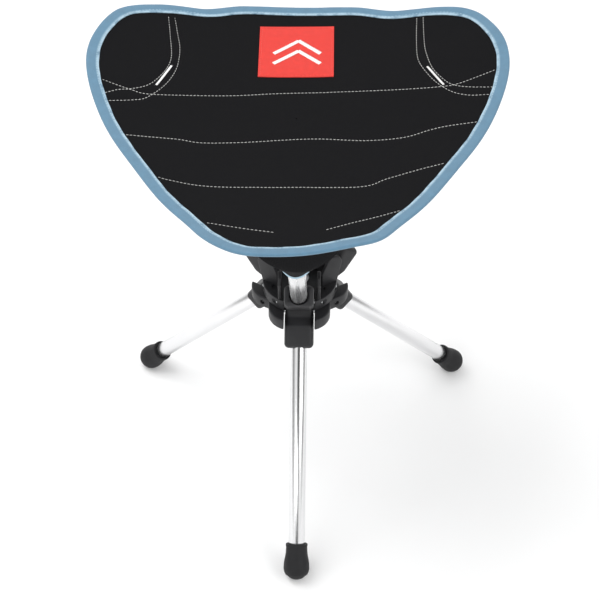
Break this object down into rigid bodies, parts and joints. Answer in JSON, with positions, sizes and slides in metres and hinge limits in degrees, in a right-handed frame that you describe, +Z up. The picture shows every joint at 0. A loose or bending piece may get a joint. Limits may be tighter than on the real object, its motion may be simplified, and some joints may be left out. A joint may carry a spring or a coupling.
{
  "type": "folding tripod camp stool",
  "caption": "Folding tripod camp stool with a swivel hub, spread tube legs and arms, and a bound sling seat held in corner pockets.",
  "frame": {"origin": "on the floor under the middle of the stool's outline; the swivel axis stands 25.4 mm towards +Y from it", "axes": "+Z up along the swivel axis; -Y towards the leg and arm called front; the others stand 120 degrees to each side"},
  "size_m": [0.39, 0.376, 0.4533],
  "materials": {
    "black_nylon": "moulded glass-filled nylon, satin",
    "black_rubber": "moulded, matt",
    "bright_aluminium": "drawn and bright anodised",
    "plated_steel": "zinc plated",
    "natural_acetal": "turned, plain",
    "black_cloth": "plain woven polyester",
    "blue_binding": "ribbed woven tape",
    "red_label": "woven satin patch"
  },
  "bodies": {
    "leg_base": {"leg_hub": "black_nylon", "swivel_bolt": "plated_steel", "bolt_washer": "plated_steel", "swivel_washer": "natural_acetal", "nut_washer": "plated_steel", "lock_nut": "plated_steel", "leg_pin_front": "plated_steel", "leg_pin_left": "plated_steel", "leg_pin_right": "plated_steel"},
    "seat_base": {"arm_hub": "black_nylon", "arm_pin_front": "plated_steel", "arm_pin_left": "plated_steel", "arm_pin_right": "plated_steel", "seat_panel": "black_cloth", "seat_binding": "blue_binding", "seat_label": "red_label"},
    "leg_front": {"leg_socket_front": "black_nylon", "leg_tube_front": "bright_aluminium", "foot_cap_front": "black_rubber"},
    "leg_left": {"leg_socket_left": "black_nylon", "leg_tube_left": "bright_aluminium", "foot_cap_left": "black_rubber"},
    "leg_right": {"leg_socket_right": "black_nylon", "leg_tube_right": "bright_aluminium", "foot_cap_right": "black_rubber"},
    "arm_front": {"arm_socket_front": "black_nylon", "arm_tube_front": "bright_aluminium", "arm_tip_front": "black_nylon", "seat_pocket_front": "black_cloth"},
    "arm_left": {"arm_socket_left": "black_nylon", "arm_tube_left": "bright_aluminium", "arm_tip_left": "black_nylon", "seat_pocket_left": "black_cloth"},
    "arm_right": {"arm_socket_right": "black_nylon", "arm_tube_right": "bright_aluminium", "arm_tip_right": "black_nylon", "seat_pocket_right": "black_cloth"}
  },
  "joints": [
    {"name": "seat_swivel", "type": "hinge", "parent": "leg_base", "child": "seat_base", "pos_m": [0, 0.0254, 0.2134], "axis": [0, 0, 1], "continuous": true},
    {"name": "leg_fold_front", "type": "hinge", "parent": "leg_base", "child": "leg_front", "pos_m": [0, 0.0005, 0.206], "axis": [1, 0, 0], "range_deg": [0, 40.5]},
    {"name": "leg_fold_left", "type": "hinge", "parent": "leg_base", "child": "leg_left", "pos_m": [-0.02156, 0.03785, 0.206], "axis": [-0.5, -0.866, 0], "range_deg": [0, 40.5]},
    {"name": "leg_fold_right", "type": "hinge", "parent": "leg_base", "child": "leg_right", "pos_m": [0.02156, 0.03785, 0.206], "axis": [-0.5, 0.866, 0], "range_deg": [0, 40.5]},
    {"name": "arm_fold_front", "type": "hinge", "parent": "seat_base", "child": "arm_front", "pos_m": [0, -0.0016, 0.2208], "axis": [-1, 0, 0], "range_deg": [0, 38], "deforming": ["seat_panel", "seat_binding", "seat_label", "seat_pocket_front", "seat_pocket_left", "seat_pocket_right"]},
    {"name": "arm_fold_left", "type": "hinge", "parent": "seat_base", "child": "arm_left", "pos_m": [-0.02338, 0.0389, 0.2208], "axis": [0.5, 0.866, 0], "range_deg": [0, 38], "deforming": ["seat_panel", "seat_binding", "seat_label", "seat_pocket_front", "seat_pocket_left", "seat_pocket_right"]},
    {"name": "arm_fold_right", "type": "hinge", "parent": "seat_base", "child": "arm_right", "pos_m": [0.02338, 0.0389, 0.2208], "axis": [0.5, -0.866, 0], "range_deg": [0, 38], "deforming": ["seat_panel", "seat_binding", "seat_label", "seat_pocket_front", "seat_pocket_left", "seat_pocket_right"]}
  ]
}
